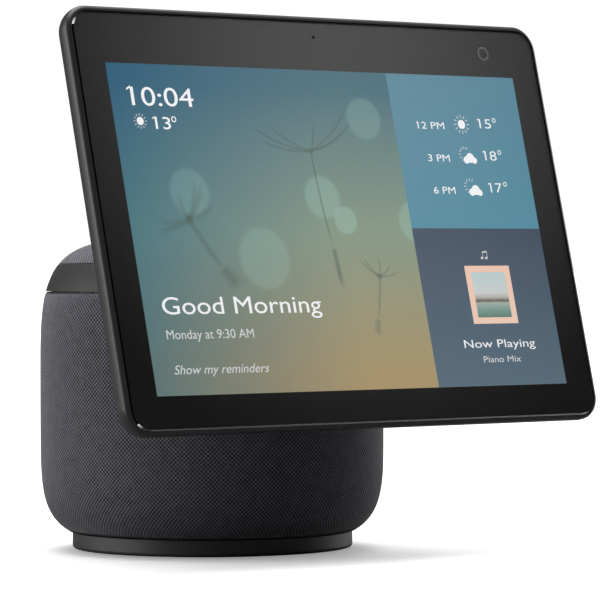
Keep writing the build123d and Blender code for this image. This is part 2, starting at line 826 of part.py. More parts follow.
def make_hinge_brackets(screws):
    """Left and right: a foot inside the cover, a web through it and a knuckle on the pin."""
    depth, height = pivot_on_screen()
    first = arm_half_width + knuckle_gap
    inside = housing_depth - cover_wall
    brackets = []
    for side in (-1, 1):
        inner, outer = side * first, side * (first + knuckle_width)
        across = sorted((inner, outer))
        foot = block(sorted((inner, side * 39)), (inside - bracket_thickness, inside), (height - 20, height + 20))
        web = block(across, (inside - 0.5, depth), (height - hinge_radius, height + hinge_radius))
        knuckle = rod(hinge_radius, (inner, depth, height), (outer, depth, height))
        bracket = foot + web + knuckle
        bracket -= rod(hinge_pin_radius, (inner, depth, height), (outer, depth, height))
        brackets.append(bracket - screws)
    return Compound(brackets)


def hinge_pin_end():
    return arm_half_width + knuckle_gap + knuckle_width + washer_count * (washer_width + washer_gap) + 1.4


def make_hinge_pin():
    depth, height = pivot_on_screen()
    end = hinge_pin_end()
    pin = rod(hinge_pin_radius, (-end, depth, height), (end, depth, height))
    return chamfer(pin.edges().group_by(Axis.X)[0] + pin.edges().group_by(Axis.X)[-1], 0.5)


def make_torque_washers():
    depth, height = pivot_on_screen()
    first = arm_half_width + knuckle_gap + knuckle_width + washer_gap
    washers = []
    for side in (-1, 1):
        for i in range(washer_count):
            near = side * (first + i * (washer_width + washer_gap))
            far = near + side * washer_width
            washers.append(rod(hinge_radius - 0.2, (near, depth, height), (far, depth, height), bore=hinge_pin_radius))
    return Compound(washers)


def arch_block(radius, near, start, stop):
    """Block across the screen with a round back, centred on the tilt axis."""
    depth, height = pivot_on_screen()
    low, high = (near, height - radius), (near, height + radius)
    round_back = ThreePointArc((depth, height - radius), (depth + radius, height), (depth, height + radius))
    outline = [Line((depth, height - radius), low), Line(low, high), Line(high, (depth, height + radius))]
    face = Plane.YZ.offset(min(start, stop)) * make_face([round_back, *outline])
    return extrude(face, abs(stop - start))


def make_hinge_covers():
    """Rounded caps on the back that hide the ends of the hinge, one each side of the arm."""
    wall = hinge_cover_wall
    first = arm_half_width + 0.4
    last = hinge_pin_end() + 0.6
    caps = []
    for side in (-1, 1):
        cap = arch_block(hinge_cover_radius, housing_depth, side * first, side * (last + wall))
        end = cap.edges().group_by(Axis.X)[-1 if side > 0 else 0]
        cap = fillet(end.sort_by(Axis.Y)[1:], 0.9)
        hollow = arch_block(hinge_cover_radius - wall, housing_depth - OVER, side * (first - OVER), side * last)
        caps.append(cap - hollow)
    return Compound(caps)


def build_base():
    foot_group = foot_screw_group()
    deck_group = deck_screw_group()
    speaker_group = speaker_screw_group()
    enclosure = make_speaker_enclosure()
    for one in speaker_group:
        enclosure -= one
    export(make_base_foot(foot_group), "base_foot")
    export(make_foot_pad(), "foot_pad")
    export(make_ballast_plate(), "ballast_plate")
    export(make_body_fabric(), "body_fabric")
    export(make_body_shell(foot_group + deck_group), "body_shell")
    export(make_dc_inlet(), "dc_inlet")
    export(make_dc_centre_pin(), "dc_centre_pin")
    export(make_power_board(), "power_board")
    export(make_power_components(), "power_components")
    export(enclosure, "speaker_enclosure")
    export(make_woofer_frame(), "woofer_frame")
    export(make_woofer_magnet(), "woofer_magnet")
    export(make_woofer_cone(), "woofer_cone")
    export(make_woofer_surround(), "woofer_surround")
    export(make_tweeter_bodies(), "tweeter_bodies")
    export(make_tweeter_domes(), "tweeter_domes")
    export(make_top_deck(deck_group), "top_deck")
    export(make_bearing_outer_race(), "bearing_outer_race")
    export(make_bearing_balls(), "bearing_balls")
    export(make_swivel_motor(), "swivel_motor")
    export(make_idler_axle(), "idler_axle")
    export(Compound(foot_group + deck_group + speaker_group), "base_screws")


def build_drive():
    export(make_idler_gear(), "idler_gear")
    export(make_motor_pinion(), "motor_pinion")


def build_turret():
    screws = turret_screw_group()
    export(make_turret_plate(screws), "turret_plate")
    export(make_spindle(), "swivel_spindle")
    export(make_spindle_nut(), "spindle_nut")
    export(make_bearing_inner_race(), "bearing_inner_race")
    export(make_ring_gear(), "ring_gear")
    export(make_turret_band(), "turret_band")
    export(make_cap_shell(screws), "cap_shell")
    export(make_cap_fabric(), "cap_fabric")
    export(make_hinge_arm(screws), "hinge_arm")
    export(make_swivel_cable(), "swivel_cable")
    export(Compound(screws), "turret_screws")


def build_screen():
    screws = bracket_screw_group()
    pieces = {
        "cover_glass": make_cover_glass(),
        "bezel_mask": make_bezel_mask(),
        "display_frame": make_display_frame(),
        "back_cover": make_back_cover(screws),
        "lcd_panel": make_lcd_panel(),
        "backlight": make_backlight(),
        "panel_chassis": make_panel_chassis(),
        "main_board": make_main_board(),
        "board_shields": make_board_shields(),
        "camera_module": make_camera_module(),
        "camera_lens": make_camera_lens(),
        "microphone_board": make_microphone_board(),
        "button_board": make_button_board(),
        "button_switches": make_button_switches(),
        "mute_button": make_key(key_spots()[0]),
        "volume_down_button": make_key(key_spots()[1]),
        "volume_up_button": make_key(key_spots()[2]),
        "shutter_slider": make_shutter_slider(),
        "shutter_blade": make_shutter_blade(),
        "hinge_brackets": make_hinge_brackets(screws),
        "hinge_pin": make_hinge_pin(),
        "torque_washers": make_torque_washers(),
        "hinge_covers": make_hinge_covers(),
        "display_screws": Compound(screws),
    }
    for name, piece in pieces.items():
        export(screen_place() * piece, name)


os.makedirs("parts", exist_ok=True)
build_base()
build_drive()
build_turret()
build_screen()
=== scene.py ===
import json
import math

import bmesh
import bpy
from mathutils import Matrix, Vector


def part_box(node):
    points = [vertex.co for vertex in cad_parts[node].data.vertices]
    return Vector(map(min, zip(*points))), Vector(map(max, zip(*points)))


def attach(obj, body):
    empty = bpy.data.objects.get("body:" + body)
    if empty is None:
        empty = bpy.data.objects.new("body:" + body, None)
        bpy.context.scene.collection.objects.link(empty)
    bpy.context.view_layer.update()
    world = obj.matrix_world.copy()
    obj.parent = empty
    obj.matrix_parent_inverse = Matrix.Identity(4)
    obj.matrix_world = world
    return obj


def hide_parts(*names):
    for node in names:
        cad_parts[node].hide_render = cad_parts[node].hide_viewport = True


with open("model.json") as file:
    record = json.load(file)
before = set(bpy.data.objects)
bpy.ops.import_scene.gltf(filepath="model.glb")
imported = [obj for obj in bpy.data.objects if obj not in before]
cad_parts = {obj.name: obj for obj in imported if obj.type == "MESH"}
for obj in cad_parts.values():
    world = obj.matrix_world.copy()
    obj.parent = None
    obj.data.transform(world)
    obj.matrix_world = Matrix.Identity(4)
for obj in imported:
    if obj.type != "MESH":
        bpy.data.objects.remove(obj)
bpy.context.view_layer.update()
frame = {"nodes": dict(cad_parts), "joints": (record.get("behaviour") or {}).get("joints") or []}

# A smart display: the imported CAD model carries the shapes, and this script gives it its fabric,
# its picture and its finishes, in metres, in the CAD's own frame.

MM = 0.001

# --- Camera ---
CAMERA_PLACE = (-0.95184, -1.24418, 0.12279)
CAMERA_AZIMUTH = math.radians(-38.8173)
CAMERA_ELEVATION = math.radians(0.5801)
CAMERA_ROLL = math.radians(-0.2118)
CAMERA_LENS = 217.573
SENSOR_WIDTH = 36.0

# --- Round body: the same superellipse as the CAD ---
BODY_RADIUS = 73.9 * MM
BODY_MIDDLE = 60.0 * MM
BODY_RISE = 74.0 * MM
BODY_DROP = 57.5 * MM
BODY_POWER = 5.0
FABRIC_THICKNESS = 0.95 * MM
AROUND = 256  # columns of faces round the body

# --- Screen: the picture's own plane, x across and y up it, z out of the glass ---
TILT = math.radians(-next(j for j in frame["joints"] if j["name"] == "screen_tilt")["range_deg"][0])
SCREEN_UP = Vector((0, math.sin(TILT), math.cos(TILT)))
SCREEN_OUT = Vector((0, -math.cos(TILT), math.sin(TILT)))
INK_DEPTH = 1.225 * MM  # middle of the ink layer, behind the front of the glass
GLASS_ABOVE_PICTURE = 3.55 * MM  # the glass's middle above the picture's middle
PICTURE_WIDTH = 217.5 * MM
PICTURE_HEIGHT = 136.0 * MM

# --- The picture: depths behind the glass's front, in mm, from its back to its front ---
WALL_BACK, WALL_FRONT = -1.29, -1.22
TILE_BACK, TILE_FRONT = -1.21, -1.19
CARD_BACK, CARD_FRONT = -1.18, -1.17
COVER_BACK, COVER_FRONT = -1.165, -1.155
STROKE_DEPTH = -1.15
MARK_BACK, MARK_FRONT = -1.125, -1.115

TILE_LEFT, TILE_SPLIT, TILE_RIGHT, TILE_TOP = 36.6, 0.35, 108.7, 67.95
CARD = (62.0, 87.2, -41.2, -16.0)
TILES = [  # name, bottom, top, colour at the bottom, colour at the top
    ("screen_weather_tile", TILE_SPLIT, TILE_TOP, (80, 140, 160), (80, 130, 150)),
    ("screen_music_tile", -TILE_TOP, TILE_SPLIT, (90, 110, 125), (60, 75, 95)),
]
CARD_BOTTOM = (240, 205, 185)
CARD_TOP = (240, 200, 180)
COVER_PICTURE_STOPS = [  # level up the small landscape, colour
    (0.0, (92, 128, 116)),
    (0.2, (128, 158, 148)),
    (0.32, (164, 176, 166)),
    (0.37, (96, 92, 84)),
    (0.44, (178, 176, 168)),
    (0.55, (204, 208, 206)),
    (0.97, (186, 208, 208)),
]
HOURS = [  # baseline, hour, its left edge, degrees, sky
    (44.0, "12 PM", 49.5, "15", "sun"),
    (29.7, "3 PM", 52.3, "18", "cloud"),
    (15.5, "6 PM", 52.4, "17", "cloud"),
]
FONT_CAP_HEIGHT = 0.729  # of the built-in font at size 1
FLAG_OF_THE_ONE = [(0.0, 0.0), (-0.25, -0.14), (-0.25, -0.24), (0.0, -0.11)]
WALLPAPER_SPREAD = 110.0 * MM  # from the left side's colours to the right side's
WALLPAPER_LEVELS = (0.05, 0.5, 0.95)  # up the picture
WALLPAPER_LEFT = [(95, 120, 120), (75, 120, 130), (30, 90, 120)]  # grey green, teal, blue
WALLPAPER_RIGHT = [(170, 150, 110), (130, 150, 130), (50, 100, 115)]  # tan, green, slate
BOKEH = [  # x, y, radius in mm, strength: soft round lights in the picture's background
    (-77.0, 15.0, 10.0, 0.32),
    (20.3, 47.5, 9.3, 0.36),
    (-9.0, 13.4, 9.3, 0.50),
    (1.4, 3.7, 6.2, 0.60),
    (-44.3, -12.5, 13.0, 0.36),
    (39.0, 3.0, 9.0, 0.50),
]

# --- Camera ring, behind the glass, in mm on the picture's plane ---
CAMERA_SPOT = (95.0, 78.8)
CAMERA_RING_OUTER = 3.1
CAMERA_RING_INNER = 2.3
CAMERA_RING_DEPTH = (-2.28, -2.14)

# --- Stage and light ---
FLOOR_GLOW = 0.30  # light of the floor's own, which keeps its shadows pale
FLOOR_BOUNCE = 0.16  # share of light that the floor throws back up
# Soft patches of light round the object: direction, where each starts and is full (degrees), radiance
GLOWS = [
    ((0.10, 0.16, 1.0), 42.0, 12.0, 4.8),
    ((-0.84, 0.54, 0.05), 38.0, 8.0, 4.2),
    ((0.98, 0.10, 0.10), 32.0, 10.0, 2.6),
]
WORLD_FLOOR_LIGHT = 0.07  # radiance where no patch reaches
# Soft box that the glass mirrors to the camera: distance and size in metres, radiance
GLASS_BOX_AWAY = 0.8
GLASS_BOX_SIZE = (0.46, 0.58)
GLASS_BOX_RADIANCE = 0.85
GLASS_BOX_SEEN_AT = (0.006, 0.080)  # across and up the picture's plane


def screen_matrix():
    """Place of the picture's middle on the glass's front, from the box of the ink behind it."""
    low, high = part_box("bezel_mask")
    middle = (low + high) / 2
    middle -= SCREEN_UP * GLASS_ABOVE_PICTURE - SCREEN_OUT * INK_DEPTH
    turn = Matrix((Vector((1, 0, 0)), SCREEN_UP, SCREEN_OUT)).transposed().to_4x4()
    return Matrix.Translation(middle) @ turn


SCREEN = screen_matrix()


def srgb(red, green, blue):
    """Linear colour from screen values of 0 to 255."""
    values = [c / 255 for c in (red, green, blue)]
    linear = [c / 12.92 if c <= 0.04045 else ((c + 0.055) / 1.055) ** 2.4 for c in values]
    return (*linear, 1.0)


YARN_DARK = srgb(24, 24, 29)
YARN_LIGHT = srgb(128, 128, 138)
UNLIT = dict(Base_Color=(0.0, 0.0, 0.0, 1.0), Roughness=0.6, Specular_IOR_Level=0.0, Emission_Strength=1.0)


# ---------------------------------------------------------------- materials


class Tree:
    """A material's node tree with short ways to add and join nodes."""

    def __init__(self, name):
        self.material = bpy.data.materials.new(name)
        self.material.use_nodes = True
        self.tree = self.material.node_tree
        self.shader = self.tree.nodes["Principled BSDF"]
        self.output = self.tree.nodes["Material Output"]

    def add(self, kind, **settings):
        node = self.tree.nodes.new("ShaderNode" + kind)
        for key, value in settings.items():
            setattr(node, key, value)
        return node

    def join(self, source, target):
        self.tree.links.new(source, target)

    def value(self, socket, item):
        """Give a socket a number or a colour, or join another node's output to it."""
        if isinstance(item, bpy.types.NodeSocket):
            self.join(item, socket)
        else:
            socket.default_value = item

    def math(self, operation, first, second=0.0, third=None):
        node = self.add("Math", operation=operation)
        self.value(node.inputs[0], first)
        self.value(node.inputs[1], second)
        if third is not None:
            self.value(node.inputs[2], third)
        return node.outputs[0]

    def mix(self, factor, first, second, blend="MIX"):
        node = self.add("Mix", data_type="RGBA", blend_type=blend)
        self.value(node.inputs["Factor"], factor)
        self.value(node.inputs[6], first)
        self.value(node.inputs[7], second)
        return node.outputs[2]

    def ramp(self, factor, stops, smooth="EASE"):
        node = self.add("ValToRGB")
        node.color_ramp.interpolation = smooth
        elements = node.color_ramp.elements
        while len(elements) < len(stops):
            elements.new(0.5)
        for element, (position, colour) in zip(elements, stops):
            element.position = position
            element.color = colour
        self.value(node.inputs[0], factor)
        return node.outputs[0]

    def coordinates(self):
        """Object coordinates, which are the CAD's frame or the picture's, split in three."""
        place = self.add("TexCoord").outputs["Object"]
        split = self.add("SeparateXYZ")
        self.join(place, split.inputs[0])
        return place, split.outputs

    def noise(self, scale, detail=3.0, stretch=None):
        place = self.add("TexCoord").outputs["Object"]
        if stretch:
            mapping = self.add("Mapping")
            mapping.inputs["Scale"].default_value = stretch
            self.join(place, mapping.inputs[0])
            place = mapping.outputs[0]
        node = self.add("TexNoise")
        node.inputs["Scale"].default_value = scale
        node.inputs["Detail"].default_value = detail
        self.join(place, node.inputs["Vector"])
        return node.outputs[0]

    def bump(self, height, strength, distance):
        node = self.add("Bump")
        node.inputs["Strength"].default_value = strength
        node.inputs["Distance"].default_value = distance
        self.join(height, node.inputs["Height"])
        self.join(node.outputs[0], self.shader.inputs["Normal"])

    def fixed(self, **values):
        """Set constant sockets of the shader, such as Metallic or Sheen_Weight."""
        for name, value in values.items():
            self.shader.inputs[name.replace("_", " ")].default_value = value


def moulded_plastic(name, colour, rough=0.42, grain=0.5, speckle=0.12):
    """Satin moulded plastic: fine spark-eroded grain, faint change of colour and gloss."""
    t = Tree(name)
    fine = t.noise(2600.0, 2.0)
    broad = t.noise(35.0, 3.0)
    shade = t.math("MULTIPLY_ADD", broad, speckle, 1 - speckle / 2)
    t.join(t.mix(1.0, colour, grey_of(t, shade), "MULTIPLY"), t.shader.inputs["Base Color"])
    t.join(t.math("MULTIPLY_ADD", fine, 0.16, rough - 0.08), t.shader.inputs["Roughness"])
    t.bump(fine, grain, 0.03 * MM)
    return t.material


def grey_of(t, value):
    node = t.add("CombineColor")
    for socket in node.inputs:
        t.join(value, socket)
    return node.outputs[0]


def woven_fabric(name, dark, light, flat, repeat=0.9 * MM):
    """Fine plain weave, round the body and up it or across the flat top: its loops lie at 45 degrees."""
    t = Tree(name)
    axis = t.coordinates()[1]
    if flat:
        across, along = axis[0], axis[1]
    else:
        across = t.math("MULTIPLY", t.math("ARCTAN2", axis[1], axis[0]), BODY_RADIUS)
        along = axis[2]
    wobble = t.math("MULTIPLY_ADD", t.noise(140.0, 2.0), 0.9, -0.45)
    turn = math.pi / repeat
    one = t.math("SINE", t.math("MULTIPLY_ADD", across, turn, wobble))
    other = t.math("SINE", t.math("MULTIPLY_ADD", along, turn, wobble))
    checks = t.math("MULTIPLY", one, other)
    lift = t.math("MULTIPLY_ADD", checks, 0.5, 0.5)
    fibre = t.noise(2200.0, 4.0)
    patch = t.noise(260.0, 3.0)
    factor = t.math("MULTIPLY_ADD", fibre, 0.5, t.math("MULTIPLY_ADD", lift, 1.5, -0.8))
    factor = t.math("MULTIPLY_ADD", patch, 0.5, factor)
    yarn = t.mix(t.math("MINIMUM", t.math("MAXIMUM", factor, 0.0), 1.0), dark, light)
    shade = t.math("MULTIPLY_ADD", t.noise(22.0, 3.0), 0.2, 0.9)
    t.join(t.mix(1.0, yarn, grey_of(t, shade), "MULTIPLY"), t.shader.inputs["Base Color"])
    t.join(t.math("MULTIPLY_ADD", fibre, 0.15, 0.8), t.shader.inputs["Roughness"])
    t.bump(t.math("MULTIPLY_ADD", fibre, 0.5, lift), 0.8, 0.22 * MM)
    t.fixed(Sheen_Weight=0.25, Sheen_Roughness=0.4, Specular_IOR_Level=0.2)
    return t.material


def brushed_metal(name, colour, rough=0.3, stretch=(1.0, 1.0, 40.0)):
    t = Tree(name)
    lines = t.noise(300.0, 4.0, stretch)
    darker = tuple(c * 0.82 for c in colour[:3]) + (1.0,)
    t.join(t.mix(lines, darker, colour), t.shader.inputs["Base Color"])
    t.join(t.math("MULTIPLY_ADD", lines, 0.2, rough - 0.1), t.shader.inputs["Roughness"])
    t.bump(lines, 0.15, 0.02 * MM)
    t.fixed(Metallic=1.0)
    return t.material


def soft_rubber(name):
    t = Tree(name)
    fine = t.noise(1500.0, 3.0)
    t.join(t.ramp(fine, [(0.3, srgb(18, 18, 19)), (0.7, srgb(34, 34, 36))]), t.shader.inputs["Base Color"])
    t.join(t.math("MULTIPLY_ADD", fine, 0.15, 0.75), t.shader.inputs["Roughness"])
    t.bump(fine, 0.3, 0.05 * MM)
    return t.material


def circuit_board(name):
    """Solder mask with fine traces, drawn by a stretched brick pattern and noise."""
    t = Tree(name)
    place = t.coordinates()[0]
    brick = t.add("TexBrick")
    brick.inputs["Scale"].default_value = 260.0
    brick.inputs["Mortar Size"].default_value = 0.03
    brick.inputs["Color1"].default_value = srgb(16, 70, 46)
    brick.inputs["Color2"].default_value = srgb(20, 84, 54)
    brick.inputs["Mortar"].default_value = srgb(46, 120, 84)
    t.join(place, brick.inputs["Vector"])
    wear = t.noise(90.0, 4.0)
    worn = t.mix(t.math("MULTIPLY", wear, 0.5), brick.outputs[0], srgb(10, 52, 36))
    t.join(worn, t.shader.inputs["Base Color"])
    t.join(t.math("MULTIPLY_ADD", wear, 0.2, 0.3), t.shader.inputs["Roughness"])
    t.bump(brick.outputs[1], 0.2, 0.03 * MM)
    return t.material


def clear_glass(name, tint=(1.0, 1.0, 1.0, 1.0)):
    """Polished glass, with the faintest change of tint across it."""
    t = Tree(name)
    smear = t.noise(18.0, 5.0)
    t.join(t.mix(smear, tint, tuple(c * 0.985 for c in tint[:3]) + (1.0,)), t.shader.inputs["Base Color"])
    t.fixed(Transmission_Weight=1.0, Roughness=0.0, IOR=1.45)
    return t.material


def black_ink(name):
    t = Tree(name)
    fine = t.noise(900.0, 2.0)
    t.join(t.ramp(fine, [(0.3, srgb(10, 10, 11)), (0.7, srgb(15, 15, 16))]), t.shader.inputs["Base Color"])
    t.join(t.math("MULTIPLY_ADD", fine, 0.1, 0.5), t.shader.inputs["Roughness"])
    t.fixed(Specular_IOR_Level=0.2)
    return t.material


def glowing(name, colour_of):
    """A lit part of the picture: colour_of(tree) gives its colour from the picture's coordinates."""
    t = Tree(name)
    t.fixed(**UNLIT)
    t.value(t.shader.inputs["Emission Color"], colour_of(t))
    return t.material


# ---------------------------------------------------------------- the picture's colours

def wallpaper_colour(t):
    """Blue at the top left, through green, to tan at the bottom right, with soft round lights."""
    place, axis = t.coordinates()
    across = t.math("ADD", t.math("DIVIDE", axis[0], WALLPAPER_SPREAD), 1.0)
    upward = t.math("ADD", t.math("DIVIDE", axis[1], PICTURE_HEIGHT), 0.5)
    sides = []
    for shades in (WALLPAPER_LEFT, WALLPAPER_RIGHT):
        stops = [(level, srgb(*shade)) for level, shade in zip(WALLPAPER_LEVELS, shades)]
        sides.append(t.ramp(upward, stops, "LINEAR"))
    colour = t.mix(across, *sides)
    for x, y, radius, strength in BOKEH:
        colour = soft_disc(t, place, colour, x * MM, y * MM, radius * MM, strength)
    return colour


def soft_disc(t, place, colour, x, y, radius, strength):
    """Lighten a disc of the picture, soft at its edge."""
    distance = t.add("VectorMath", operation="DISTANCE")
    t.join(place, distance.inputs[0])
    distance.inputs[1].default_value = (x, y, 0)
    edge = t.add("MapRange", interpolation_type="SMOOTHSTEP")
    t.join(distance.outputs["Value"], edge.inputs["Value"])
    edge.inputs["From Min"].default_value = radius * 1.1
    edge.inputs["From Max"].default_value = radius * 0.86
    amount = t.math("MULTIPLY", edge.outputs[0], strength * 0.42)
    return t.mix(amount, colour, srgb(170, 214, 200))


def upright_run(bottom, top, low, high):
    """Colour that runs from one shade at a low level of the picture to another at a high one."""

    def colour_of(t):
        axis = t.coordinates()[1]
        upward = t.math("DIVIDE", t.math("SUBTRACT", axis[1], low), high - low)
        return t.mix(upward, srgb(*bottom), srgb(*top))

    return colour_of


def cover_picture_colour(t):
    """Small plain landscape: pale sky, a far shore and water."""
    axis = t.coordinates()[1]
    upward = t.math("DIVIDE", t.math("ADD", axis[1], 38.6 * MM), 19.8 * MM)
    ripple = t.noise(700.0, 3.0, (1.0, 4.0, 1.0))
    height = t.math("ADD", upward, t.math("MULTIPLY_ADD", ripple, 0.08, -0.04))
    stops = [(level, srgb(*shade)) for level, shade in COVER_PICTURE_STOPS]
    return t.ramp(height, stops, "LINEAR")


# ---------------------------------------------------------------- mesh helpers


def add_piece(name, mesh, material, body, place=None, smooth=False):
    """Put a finished mesh in the scene as a piece of one body."""
    mesh.name = name
    mesh.materials.clear()
    mesh.materials.append(material)
    if smooth:
        mesh.polygons.foreach_set("use_smooth", [True] * len(mesh.polygons))
    obj = bpy.data.objects.new(name, mesh)
    bpy.context.scene.collection.objects.link(obj)
    if place is not None:
        obj.matrix_world = place
    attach(obj, body)
    return obj


def mesh_of(vertices, faces):
    mesh = bpy.data.meshes.new("mesh")
    mesh.from_pydata([tuple(v) for v in vertices], [], faces)
    mesh.validate()
    return mesh


def outline_point(angle, inset):
    """Radius and height of the body's outline, inset inwards; the angle is 0 at the widest level."""
    reach = BODY_RISE if angle >= 0 else BODY_DROP
    along = max(math.cos(math.radians(angle)), 0.0) ** (2 / BODY_POWER)
    up = abs(math.sin(math.radians(angle))) ** (2 / BODY_POWER)
    slope = Vector((along ** (BODY_POWER - 1) / BODY_RADIUS, up ** (BODY_POWER - 1) / reach)).normalized()
    sign = 1 if angle >= 0 else -1
    radius = BODY_RADIUS * along - inset * slope.x
    return radius, BODY_MIDDLE + sign * (reach * up - inset * slope.y)


def outline_angle(height):
    """The outline's angle at a height."""
    rise = height - BODY_MIDDLE
    reach = BODY_RISE if rise >= 0 else BODY_DROP
    share = min(abs(rise) / reach, 1.0) ** (BODY_POWER / 2)
    return math.copysign(math.degrees(math.asin(share)), rise)


def outline_between(low, high, inset, steps):
    """Points of the outline between two heights, evenly spread up it."""
    points = []
    for i in range(steps + 1):
        height = low + (high - low) * i / steps
        points.append(outline_point(outline_angle(height), inset))
    return points


def rolled_edge(outer, inner, steps=4):
    """Half round between the end of a sheet's outer face and the end of its inner face."""
    outer, inner = Vector(outer), Vector(inner)
    middle, half = (outer + inner) / 2, (outer - inner) / 2
    side = Vector((-half.y, half.x)) if half.x > 0 else Vector((half.y, -half.x))
    points = []
    for i in range(1, steps):
        a = math.pi * i / steps
        points.append(tuple(middle + half * math.cos(a) + side * math.sin(a)))
    return points


def turned_mesh(profile, columns, closed_top=False):
    """Mesh turned about Z from a closed profile, or from a profile that ends on the axis."""
    vertices, faces = [], []
    count = len(profile)
    for c in range(columns):
        a = 2 * math.pi * c / columns
        for radius, height in profile:
            vertices.append((radius * math.cos(a), radius * math.sin(a), height))
    last = count if not closed_top else count - 1
    for c in range(columns):
        near, far = c * count, ((c + 1) % columns) * count
        for i in range(last):
            j = (i + 1) % count
            faces.append((near + i, far + i, far + j, near + j))
    mesh = mesh_of(vertices, faces)
    tidy = bmesh.new()
    tidy.from_mesh(mesh)
    bmesh.ops.remove_doubles(tidy, verts=tidy.verts, dist=1e-6)
    bmesh.ops.recalc_face_normals(tidy, faces=tidy.faces)
    tidy.to_mesh(mesh)
    tidy.free()
    return mesh


def cut_by(obj, cutter_mesh):
    """Subtract a mesh from an object and keep the result as its plain mesh."""
    cutter = bpy.data.objects.new("cutter", cutter_mesh)
    bpy.context.scene.collection.objects.link(cutter)
    modifier = obj.modifiers.new("cut", "BOOLEAN")
    modifier.operation = "DIFFERENCE"
    modifier.solver = "EXACT"
    modifier.object = cutter
    bpy.context.view_layer.update()
    result = bpy.data.meshes.new_from_object(obj.evaluated_get(bpy.context.evaluated_depsgraph_get()))
    obj.modifiers.clear()
    bpy.data.objects.remove(cutter)
    return result


# ---------------------------------------------------------------- fabric


def fabric_sleeve(material):
    """Sleeve of woven fabric pulled over the lower body and turned in at both hems."""
    low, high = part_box("body_fabric")
    hem = FABRIC_THICKNESS / 2
    bottom, top = low.z + hem, high.z - hem
    outer = outline_between(bottom, top, 0.0, 72)
    inner = outline_between(bottom, top, FABRIC_THICKNESS, 24)[::-1]
    profile = outer + rolled_edge(outer[-1], inner[0]) + inner
    foot = rolled_edge(inner[-1], outer[0])
    profile += [(r, max(z, low.z)) for r, z in foot]
    mesh = turned_mesh(profile, AROUND)
    raw = bpy.data.objects.new("raw_sleeve", mesh)
    bpy.context.scene.collection.objects.link(raw)
    inlet_low, inlet_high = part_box("dc_inlet")
    middle = (inlet_low + inlet_high) / 2
    radius = (inlet_high.x - inlet_low.x) / 2 + 0.15 * MM
    tool = bmesh.new()
    place = Matrix.Translation((0, BODY_RADIUS, middle.z)) @ Matrix.Rotation(math.pi / 2, 4, "X")
    bmesh.ops.create_cone(
        tool, cap_ends=True, segments=64, radius1=radius, radius2=radius, depth=20 * MM, matrix=place
    )
    tool_mesh = bpy.data.meshes.new("tool")
    tool.to_mesh(tool_mesh)
    tool.free()
    mesh = cut_by(raw, tool_mesh)
    bpy.data.objects.remove(raw)
    sleeve = add_piece("fabric_sleeve", mesh, material, "base", smooth=True)
    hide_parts("body_fabric")
    return sleeve


def fabric_cap(material):
    """Round of woven fabric stretched over the domed top and turned in at the band."""
    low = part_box("cap_fabric")[0]
    start = outline_angle(low.z + 0.1 * MM)
    outer = [outline_point(start + (90 - start) * i / 40, 0.0) for i in range(41)]
    inner = [outline_point(start + (90 - start) * i / 40, FABRIC_THICKNESS) for i in range(40, -1, -1)]
    profile = outer + inner + rolled_edge(inner[-1], outer[0])
    profile = [(max(r, 0.0), max(z, low.z)) for r, z in profile]
    mesh = turned_mesh(profile, AROUND)
    cap = add_piece("fabric_top", mesh, material, "turret", smooth=True)
    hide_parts("cap_fabric")
    return cap


# ---------------------------------------------------------------- the picture


def add_picture_piece(name, mesh, material):
    return add_piece(name, mesh, material, "screen", SCREEN)


def plate_mesh(x0, x1, y0, y1, z0, z1):
    """Thin rectangular plate in the picture's coordinates, in millimetres."""
    box = bmesh.new()
    bmesh.ops.create_cube(box, size=1.0)
    size = Vector((x1 - x0, y1 - y0, z1 - z0)) * MM
    middle = Vector((x1 + x0, y1 + y0, z1 + z0)) * MM / 2
    place = Matrix.Translation(middle) @ Matrix.Diagonal((*size, 1.0))
    bmesh.ops.transform(box, matrix=place, verts=box.verts)
    mesh = bpy.data.meshes.new("plate")
    box.to_mesh(mesh)
    box.free()
    return mesh


def flat_shape(into, outline, z0, z1, place=(0.0, 0.0)):
    """Add a thin solid with the given outline, in millimetres, to a bmesh."""
    lower = [into.verts.new(((x + place[0]) * MM, (y + place[1]) * MM, z0 * MM)) for x, y in outline]
    upper = [into.verts.new(((x + place[0]) * MM, (y + place[1]) * MM, z1 * MM)) for x, y in outline]
    into.faces.new(upper)
    into.faces.new(lower[::-1])
    count = len(outline)
    for i in range(count):
        j = (i + 1) % count
        into.faces.new((lower[i], lower[j], upper[j], upper[i]))


def circle_outline(radius, steps=28, squeeze=1.0):
    return [
        (radius * math.cos(2 * math.pi * i / steps), squeeze * radius * math.sin(2 * math.pi * i / steps))
        for i in range(steps)
    ]


def ring_shape(into, radius, width, z0, z1, place, steps=28):
    """Add a thin ring, in millimetres, to a bmesh."""
    loops = []
    for r, z in ((radius, z1), (radius - width, z1), (radius - width, z0), (radius, z0)):
        loop = [((x + place[0]) * MM, (y + place[1]) * MM, z * MM) for x, y in circle_outline(r, steps)]
        loops.append([into.verts.new(v) for v in loop])
    for k in range(4):
        one, other = loops[k], loops[(k + 1) % 4]
        for i in range(steps):
            j = (i + 1) % steps
            into.faces.new((one[i], other[i], other[j], one[j]))


def sun_rays(into, centre, inner, outer, width, angles, z0, z1):
    for angle in angles:
        a = math.radians(angle)
        along, side = Vector((math.cos(a), math.sin(a))), Vector((-math.sin(a), math.cos(a)))
        corners = [along * inner - side * width / 2, along * outer - side * width / 2]
        corners += [along * outer + side * width / 2, along * inner + side * width / 2]
        flat_shape(into, [tuple(c) for c in corners], z0, z1, centre)


